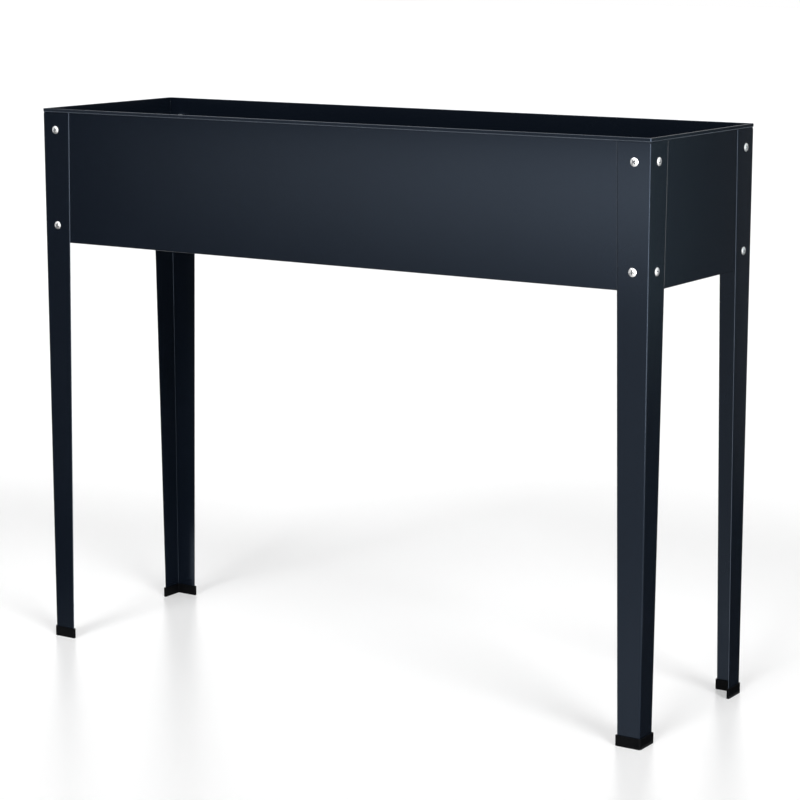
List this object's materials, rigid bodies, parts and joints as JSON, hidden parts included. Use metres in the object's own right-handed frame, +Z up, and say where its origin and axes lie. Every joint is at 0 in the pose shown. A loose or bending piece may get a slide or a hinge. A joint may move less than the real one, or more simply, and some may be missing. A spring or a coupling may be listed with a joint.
{
  "type": "raised garden bed",
  "caption": "Long narrow trough planter of folded sheet steel on tapered angle legs, open at the top, with a hemmed rim, bolted corners, a drained base and moulded foot caps.",
  "frame": {"origin": "on the floor under the middle of the bed", "axes": "+X along the bed to the right seen from the front, +Y from the front to the rear, +Z up"},
  "size_m": [1.0064, 0.3064, 0.8],
  "materials": {
    "powder_coated_steel": "satin blue-black powder coat",
    "moulded_foot": "fine moulded texture",
    "zinc_plated_screw": "bright zinc plate",
    "zinc_plated_nut": "bright zinc plate"
  },
  "bodies": {
    "root": {"front_panel": "powder_coated_steel", "rear_panel": "powder_coated_steel", "left_panel": "powder_coated_steel", "right_panel": "powder_coated_steel", "base_tray": "powder_coated_steel", "leg_front_left": "powder_coated_steel", "foot_cap_front_left": "moulded_foot", "screws_front_left": "zinc_plated_screw", "nuts_front_left": "zinc_plated_nut", "leg_front_right": "powder_coated_steel", "foot_cap_front_right": "moulded_foot", "screws_front_right": "zinc_plated_screw", "nuts_front_right": "zinc_plated_nut", "leg_rear_left": "powder_coated_steel", "foot_cap_rear_left": "moulded_foot", "screws_rear_left": "zinc_plated_screw", "nuts_rear_left": "zinc_plated_nut", "leg_rear_right": "powder_coated_steel", "foot_cap_rear_right": "moulded_foot", "screws_rear_right": "zinc_plated_screw", "nuts_rear_right": "zinc_plated_nut"}
  },
  "joints": []
}
